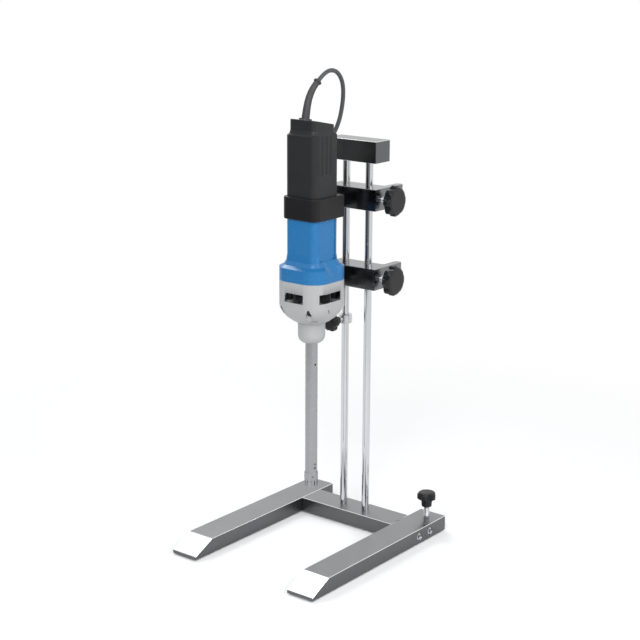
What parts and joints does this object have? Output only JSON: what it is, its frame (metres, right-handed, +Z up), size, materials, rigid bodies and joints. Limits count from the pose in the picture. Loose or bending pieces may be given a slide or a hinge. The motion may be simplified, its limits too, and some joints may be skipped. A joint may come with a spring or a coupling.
{
  "type": "rotor stator homogenizer",
  "caption": "Bench rotor stator homogenizer: a handheld motor unit with a slotted dispersing shaft, held by two clamp bars on a two-column stand.",
  "frame": {"origin": "middle of the stand's footprint on the bench", "axes": "+Z up along the columns, X along the crossbar, -Y towards the leg tips and the user"},
  "size_m": [0.232, 0.287, 0.6196],
  "materials": {
    "anodised_frame": "satin anodised flat bar",
    "clamp_metal": "polished metal",
    "chrome_column": "bright chrome plate",
    "steel_screws": "bright zinc",
    "rubber": "matte black rubber",
    "black_knob": "matte black plastic",
    "black_holder": "matte black",
    "black_housing": "fine textured black",
    "blue_housing": "satin blue plastic",
    "grey_housing": "satin light grey plastic",
    "stainless": "ground stainless steel",
    "collar_metal": "turned aluminium",
    "brass": "plain brass",
    "ptfe": "white ptfe",
    "bearing_steel": "ground steel",
    "fan_plastic": "black moulded plastic",
    "core_steel": "laminated steel",
    "copper": "varnished copper",
    "carbon": "carbon",
    "circuit_board": "green circuit board",
    "cord_jacket": "satin dark grey jacket",
    "tie_fabric": "black woven strap"
  },
  "bodies": {
    "stand": {"leg_left": "anodised_frame", "leg_right": "anodised_frame", "rubber_feet": "rubber", "cross_bar": "anodised_frame", "frame_screws": "steel_screws", "column_left": "chrome_column", "column_right": "chrome_column", "column_screws": "steel_screws", "top_block": "anodised_frame", "top_set_screws": "steel_screws"},
    "level_foot": {"levelling_foot": "black_knob"},
    "level_screw": {"levelling_screw": "chrome_column", "levelling_knob": "black_knob"},
    "carriage": {"upper_clamp": "clamp_metal", "lower_clamp": "clamp_metal", "arm_screws": "steel_screws", "holder_ring": "black_holder", "holder_set_screws": "steel_screws", "lower_arm": "black_holder", "handle_shell": "black_housing", "switch_body": "black_housing", "speed_board": "circuit_board", "motor_housing": "blue_housing", "nose_housing": "grey_housing", "housing_screws": "steel_screws", "neck": "grey_housing", "shaft_tube": "stainless", "stator_head": "stainless", "shaft_bushes": "ptfe", "shaft_bearings": "bearing_steel", "field_core": "core_steel", "field_windings": "copper", "brush_plate": "fan_plastic", "brushes": "carbon", "cord_boot": "rubber", "cord_run": "cord_jacket", "cord_tail": "cord_jacket", "cord_hank": "cord_jacket", "power_plug": "cord_jacket", "cord_tie": "tie_fabric"},
    "upper_pad": {"upper_clamp_pad": "brass"},
    "upper_screw": {"upper_clamp_stud": "chrome_column", "upper_clamp_knob": "black_knob"},
    "lower_pad": {"lower_clamp_pad": "brass"},
    "lower_screw": {"lower_clamp_stud": "chrome_column", "lower_clamp_knob": "black_knob"},
    "stop": {"stop_collar": "collar_metal"},
    "stop_tip": {"stop_pad": "brass"},
    "stop_turn": {"stop_screw": "chrome_column", "stop_knob": "black_knob"},
    "spindle": {"rotor": "stainless", "drive_shaft": "stainless", "coupling": "bearing_steel", "motor_shaft": "bearing_steel", "fan": "fan_plastic", "armature": "core_steel", "armature_windings": "copper", "commutator": "copper"},
    "rocker": {"switch_rocker": "black_housing"},
    "dial": {"speed_dial": "black_housing"}
  },
  "joints": [
    {"name": "lift", "type": "slide", "parent": "stand", "child": "carriage", "axis": [0, 0, 1], "range_m": [-0.042, 0.033]},
    {"name": "stop_height", "type": "slide", "parent": "stand", "child": "stop", "axis": [0, 0, 1], "range_m": [-0.245, 0]},
    {"name": "stop_tip_travel", "type": "slide", "parent": "stop", "child": "stop_tip", "axis": [0, -1, 0], "range_m": [0, 0.0008]},
    {"name": "stop_knob_turn", "type": "hinge", "parent": "stop_tip", "child": "stop_turn", "pos_m": [-0.0184, 0.0775, 0.285], "axis": [0, -1, 0], "range_deg": [0, 360]},
    {"name": "upper_pad_travel", "type": "slide", "parent": "carriage", "child": "upper_pad", "axis": [1, 0, 0], "range_m": [0, 0.00125]},
    {"name": "upper_knob_turn", "type": "hinge", "parent": "upper_pad", "child": "upper_screw", "pos_m": [0.05, 0.0935, 0.4512], "axis": [1, 0, 0], "range_deg": [0, 360]},
    {"name": "lower_pad_travel", "type": "slide", "parent": "carriage", "child": "lower_pad", "axis": [1, 0, 0], "range_m": [0, 0.00125]},
    {"name": "lower_knob_turn", "type": "hinge", "parent": "lower_pad", "child": "lower_screw", "pos_m": [0.05, 0.0935, 0.3473], "axis": [1, 0, 0], "range_deg": [0, 360]},
    {"name": "level_travel", "type": "slide", "parent": "stand", "child": "level_foot", "axis": [0, 0, 1], "range_m": [-0.003, 0.002]},
    {"name": "level_knob_turn", "type": "hinge", "parent": "level_foot", "child": "level_screw", "pos_m": [0.096, 0.1275, 0.04], "axis": [0, 0, 1], "range_deg": [-864, 576]},
    {"name": "rotor_spin", "type": "hinge", "parent": "carriage", "child": "spindle", "pos_m": [0, -0.0015, 0.4], "axis": [0, 0, 1], "continuous": true},
    {"name": "power_switch", "type": "hinge", "parent": "carriage", "child": "rocker", "pos_m": [-0.0216, -0.0015, 0.52], "axis": [0, 1, 0], "range_deg": [0, 14]},
    {"name": "speed_dial_turn", "type": "hinge", "parent": "carriage", "child": "dial", "pos_m": [0, 0.0177, 0.5], "axis": [1, 0, 0], "range_deg": [0, 270]}
  ],
  "couplings": [
    {"joint": "stop_knob_turn", "follows": "stop_tip_travel", "rad_per_m": 7854},
    {"joint": "upper_knob_turn", "follows": "upper_pad_travel", "rad_per_m": 5026.5},
    {"joint": "lower_knob_turn", "follows": "lower_pad_travel", "rad_per_m": 5026.5},
    {"joint": "level_knob_turn", "follows": "level_travel", "rad_per_m": 5026.5}
  ]
}
